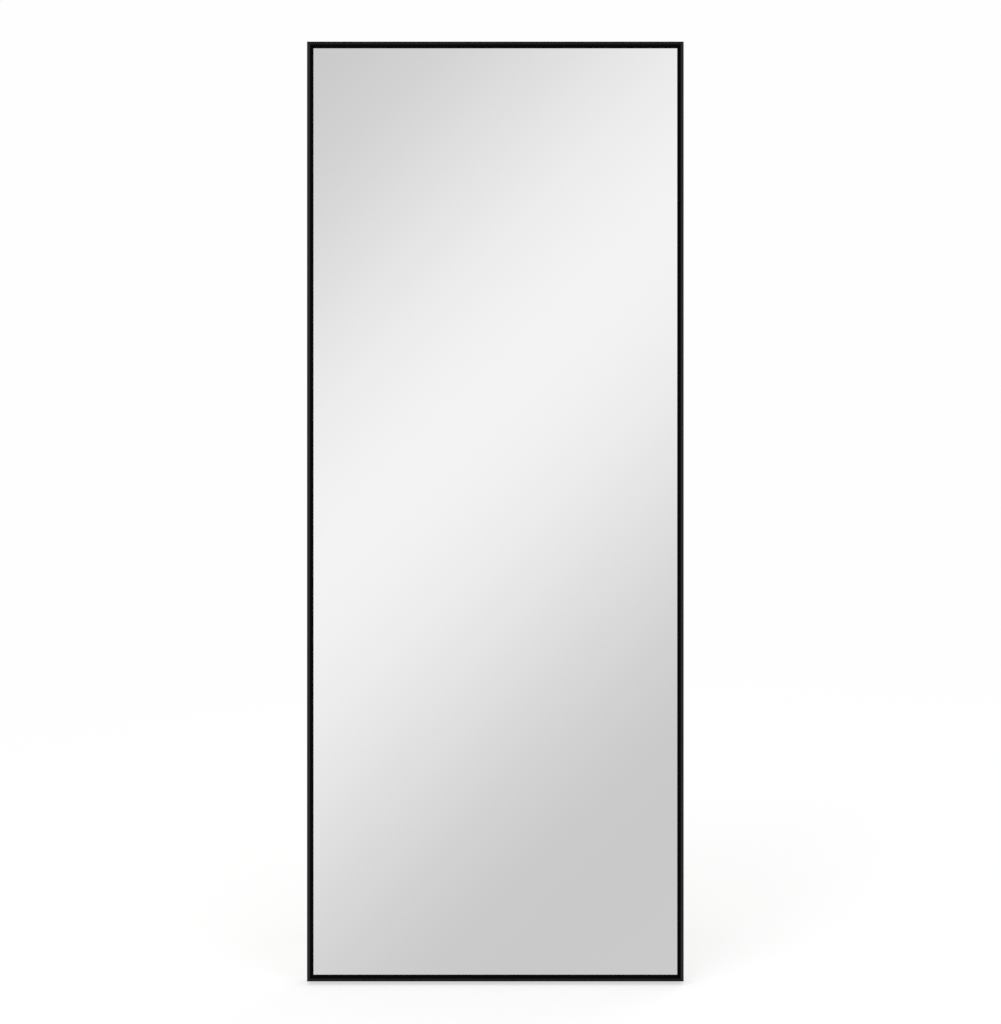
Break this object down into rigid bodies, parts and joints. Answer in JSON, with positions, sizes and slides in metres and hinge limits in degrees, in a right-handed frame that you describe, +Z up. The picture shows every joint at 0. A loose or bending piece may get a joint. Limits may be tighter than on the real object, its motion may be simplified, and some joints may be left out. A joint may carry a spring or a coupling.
{
  "type": "leaning floor mirror",
  "caption": "Tall rectangular leaning floor mirror in a slim satin black metal frame, with a U-shaped stand that folds into the back and keyhole plates for a wall.",
  "frame": {"origin": "on the floor, in the middle of the box around the whole part as it stands", "axes": "+X to the right as seen from the front, +Y from the glass towards the back, +Z up"},
  "size_m": [0.602, 0.3052, 1.4853],
  "materials": {
    "frame_black": "fine satin black powder coat on aluminium",
    "mirror_face": "silvered float glass",
    "clear_film": "thin film",
    "grey_foam": "closed-cell foam sheet",
    "fibreboard": "bare medium density fibreboard",
    "cast_key": "as die-cast",
    "zinc_screw": "bright zinc plating",
    "zinc_plate": "zinc-plated sheet steel",
    "black_rubber": "matt moulded rubber",
    "bracket_black": "black powder coat",
    "pin_steel": "zinc-plated steel rivet",
    "white_nylon": "natural nylon",
    "clip_plastic": "moulded black plastic",
    "stand_black": "black powder coat",
    "fitting_black": "black powder coat on a casting"
  },
  "bodies": {
    "mirror": {"bottom_rail": "frame_black", "top_rail": "frame_black", "right_rail": "frame_black", "left_rail": "frame_black", "corner_key_bottom_left": "cast_key", "corner_key_bottom_right": "cast_key", "corner_key_top_left": "cast_key", "corner_key_top_right": "cast_key", "corner_screws": "zinc_screw", "mirror_glass": "mirror_face", "safety_film": "clear_film", "foam_pad": "grey_foam", "back_board": "fibreboard", "wall_buffer_bottom_left": "black_rubber", "wall_buffer_bottom_right": "black_rubber", "wall_buffer_top_left": "black_rubber", "wall_buffer_top_right": "black_rubber", "setting_block_left": "black_rubber", "keyhole_plate_left": "zinc_plate", "floor_foot_left": "black_rubber", "hinge_bracket_left": "bracket_black", "pivot_pin_left": "pin_steel", "pivot_washer_outer_left": "white_nylon", "pivot_washer_inner_left": "white_nylon", "setting_block_right": "black_rubber", "keyhole_plate_right": "zinc_plate", "floor_foot_right": "black_rubber", "hinge_bracket_right": "bracket_black", "pivot_pin_right": "pin_steel", "pivot_washer_outer_right": "white_nylon", "pivot_washer_inner_right": "white_nylon", "bracket_screws": "zinc_screw", "stand_clip": "clip_plastic", "clip_screws": "zinc_screw"},
    "stand": {"stand_tube": "stand_black", "stand_end_left": "fitting_black", "stand_foot_left": "black_rubber", "stand_end_right": "fitting_black", "stand_foot_right": "black_rubber"}
  },
  "joints": [
    {"name": "stand_fold", "type": "hinge", "parent": "mirror", "child": "stand", "pos_m": [0, 0.06138, 1.08565], "axis": [-1, 0, 0], "range_deg": [0, 14.5]}
  ]
}
